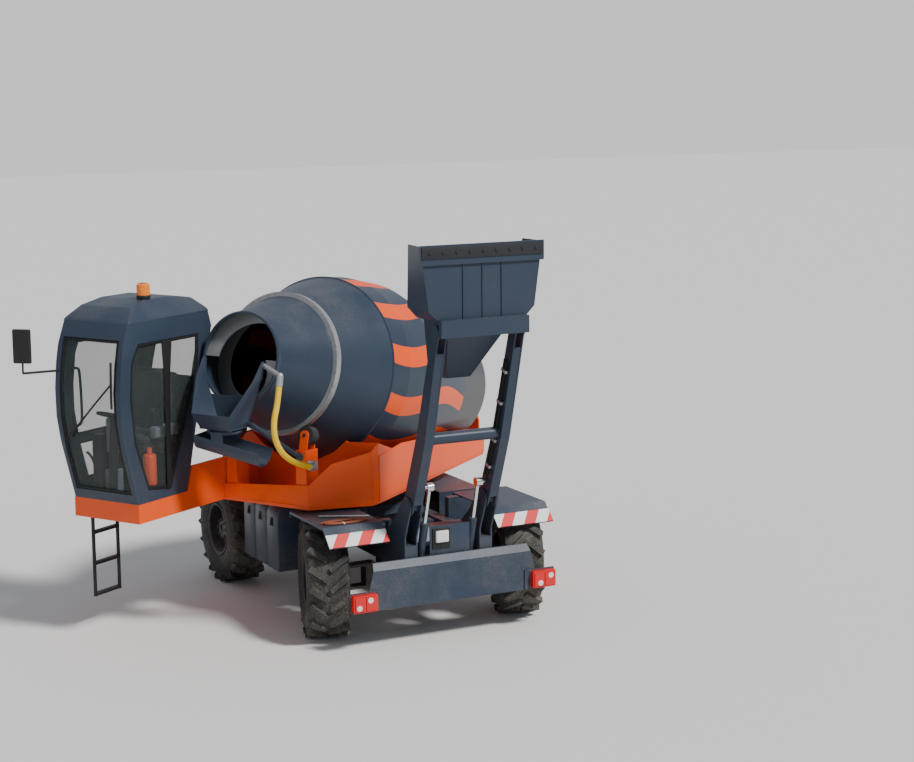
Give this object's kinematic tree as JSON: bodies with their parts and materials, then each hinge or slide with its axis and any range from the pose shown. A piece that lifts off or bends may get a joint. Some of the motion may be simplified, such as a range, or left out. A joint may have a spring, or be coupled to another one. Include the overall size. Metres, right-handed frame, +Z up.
{
  "type": "self-loading concrete mixer",
  "caption": "Self-loading concrete mixer: four steered wheels, a slewing drum with a hanging cab, a feed hopper with a chute, and a loader bucket on raised arms.",
  "frame": {"origin": "centre of the bounding box, on the ground plane", "axes": "+X forward on the road, away from the loader bucket; +Y to the left; +Z up"},
  "size_m": [4.546, 5.2919, 3.728],
  "materials": {
    "orange_paint": "semi-gloss, a little dusty",
    "slate_paint": "semi-gloss, a little dusty",
    "dark_metal": "satin",
    "tyre": "matt, muddy",
    "glass": "clear, slightly tinted",
    "galvanised": "galvanised",
    "lens": "gloss",
    "board": "retroreflective",
    "hose": "matt",
    "dark_plastic": "matt",
    "rod_chrome": "polished"
  },
  "bodies": {
    "chassis": {"chassis_frame": "slate_paint", "loader_towers": "slate_paint", "rear_bumper": "slate_paint", "rear_fenders": "slate_paint", "front_axle": "dark_metal", "rear_axle": "dark_metal", "side_boxes": "slate_paint", "engine": "dark_metal", "engine_hood": "slate_paint", "lamps": "lens", "marker_boards": "board"},
    "upper": {"upper_frame": "orange_paint", "cab_shell": "slate_paint", "cab_glass": "glass", "cab_interior": "dark_plastic", "cab_outfit": "dark_plastic", "hopper": "slate_paint", "drum_supports": "dark_metal", "water_hose": "hose", "hose_fittings": "galvanised"},
    "drum": {"drum_shell": "slate_paint", "drum_blades": "dark_metal", "drum_ring": "galvanised"},
    "door": {"cab_door": "slate_paint", "door_glass": "glass"},
    "chute": {"chute": "slate_paint"},
    "arms": {"loader_arms": "slate_paint"},
    "bucket": {"bucket": "slate_paint"},
    "tilt_barrel": {"tilt_barrel": "slate_paint"},
    "tilt_rod": {"tilt_rod": "rod_chrome"},
    "lift_barrel_left": {"lift_barrel_left": "slate_paint"},
    "lift_rod_left": {"lift_rod_left": "rod_chrome"},
    "lift_barrel_right": {"lift_barrel_right": "slate_paint"},
    "lift_rod_right": {"lift_rod_right": "rod_chrome"},
    "knuckle_front_left": {"knuckle_front_left": "dark_metal"},
    "wheel_front_left": {"tyre_front_left": "tyre", "rim_front_left": "dark_metal"},
    "knuckle_front_right": {"knuckle_front_right": "dark_metal"},
    "wheel_front_right": {"tyre_front_right": "tyre", "rim_front_right": "dark_metal"},
    "knuckle_rear_left": {"knuckle_rear_left": "dark_metal"},
    "wheel_rear_left": {"tyre_rear_left": "tyre", "rim_rear_left": "dark_metal"},
    "knuckle_rear_right": {"knuckle_rear_right": "dark_metal"},
    "wheel_rear_right": {"tyre_rear_right": "tyre", "rim_rear_right": "dark_metal"}
  },
  "joints": [
    {"name": "slew", "type": "hinge", "parent": "chassis", "child": "upper", "pos_m": [0.608, -0.923, 1.1], "axis": [0, 0, 1], "range_deg": [-211.4, 58.6]},
    {"name": "drum_spin", "type": "hinge", "parent": "upper", "child": "drum", "pos_m": [-0.33972, 0.62961, 2.595], "axis": [-0.5087, 0.8333, 0.2164], "continuous": true},
    {"name": "cab_door", "type": "hinge", "parent": "upper", "child": "door", "pos_m": [0.73743, 1.31405, 2.6], "axis": [0, 0, -1], "range_deg": [0, 95]},
    {"name": "chute_fold", "type": "hinge", "parent": "upper", "child": "chute", "pos_m": [-0.48091, 0.86092, 1.957], "axis": [0, 0, 1], "range_deg": [-100, 0]},
    {"name": "loader_lift", "type": "hinge", "parent": "chassis", "child": "arms", "pos_m": [-1.542, -0.923, 1.31], "axis": [0, -1, 0], "range_deg": [0, 105]},
    {"name": "bucket_tilt", "type": "hinge", "parent": "arms", "child": "bucket", "pos_m": [-2.122, -0.923, 2.95], "axis": [0, 1, 0], "range_deg": [-30, 30]},
    {"name": "lift_barrel_turn_left", "type": "hinge", "parent": "chassis", "child": "lift_barrel_left", "pos_m": [-1.352, -0.673, 0.6], "axis": [0, -1, 0], "range_deg": [-1, 16]},
    {"name": "lift_rod_slide_left", "type": "slide", "parent": "lift_barrel_left", "child": "lift_rod_left", "axis": [-0.2835, 0, 0.959], "range_m": [-0.24, 0.005]},
    {"name": "lift_barrel_turn_right", "type": "hinge", "parent": "chassis", "child": "lift_barrel_right", "pos_m": [-1.352, -1.173, 0.6], "axis": [0, -1, 0], "range_deg": [-1, 16]},
    {"name": "lift_rod_slide_right", "type": "slide", "parent": "lift_barrel_right", "child": "lift_rod_right", "axis": [-0.2835, 0, 0.959], "range_m": [-0.24, 0.005]},
    {"name": "tilt_barrel_turn", "type": "hinge", "parent": "arms", "child": "tilt_barrel", "pos_m": [-1.81657, -0.538, 2.02144], "axis": [0, -1, 0], "range_deg": [-5, 5]},
    {"name": "tilt_rod_slide", "type": "slide", "parent": "tilt_barrel", "child": "tilt_rod", "axis": [-0.2301, 0, 0.9732], "range_m": [-0.06, 0.06]},
    {"name": "steer_front_left", "type": "hinge", "parent": "chassis", "child": "knuckle_front_left", "pos_m": [1.508, -0.133, 0.545], "axis": [0, 0, 1], "range_deg": [-25, 25]},
    {"name": "spin_front_left", "type": "hinge", "parent": "knuckle_front_left", "child": "wheel_front_left", "pos_m": [1.508, 0.067, 0.545], "axis": [0, 1, 0], "continuous": true},
    {"name": "steer_front_right", "type": "hinge", "parent": "chassis", "child": "knuckle_front_right", "pos_m": [1.508, -1.713, 0.545], "axis": [0, 0, 1], "range_deg": [-25, 25]},
    {"name": "spin_front_right", "type": "hinge", "parent": "knuckle_front_right", "child": "wheel_front_right", "pos_m": [1.508, -1.913, 0.545], "axis": [0, 1, 0], "continuous": true},
    {"name": "steer_rear_left", "type": "hinge", "parent": "chassis", "child": "knuckle_rear_left", "pos_m": [-0.902, -0.133, 0.545], "axis": [0, 0, 1], "range_deg": [-8, 42]},
    {"name": "spin_rear_left", "type": "hinge", "parent": "knuckle_rear_left", "child": "wheel_rear_left", "pos_m": [-0.84353, 0.05826, 0.545], "axis": [0.2924, 0.9563, 0], "continuous": true},
    {"name": "steer_rear_right", "type": "hinge", "parent": "chassis", "child": "knuckle_rear_right", "pos_m": [-0.902, -1.713, 0.545], "axis": [0, 0, 1], "range_deg": [-8, 42]},
    {"name": "spin_rear_right", "type": "hinge", "parent": "knuckle_rear_right", "child": "wheel_rear_right", "pos_m": [-0.96047, -1.90426, 0.545], "axis": [0.2924, 0.9563, 0], "continuous": true}
  ],
  "couplings": [
    {"joint": "lift_barrel_turn_left", "follows": "loader_lift", "ratio": 0.1193},
    {"joint": "lift_rod_slide_left", "follows": "loader_lift", "m_per_rad": -0.12409},
    {"joint": "lift_barrel_turn_right", "follows": "loader_lift", "ratio": 0.1193},
    {"joint": "lift_rod_slide_right", "follows": "loader_lift", "m_per_rad": -0.12409},
    {"joint": "tilt_barrel_turn", "follows": "bucket_tilt", "ratio": 0.048635},
    {"joint": "tilt_rod_slide", "follows": "bucket_tilt", "m_per_rad": -0.079219},
    {"joint": "steer_front_right", "follows": "steer_front_left", "ratio": 1},
    {"joint": "steer_rear_right", "follows": "steer_rear_left", "ratio": 1}
  ]
}
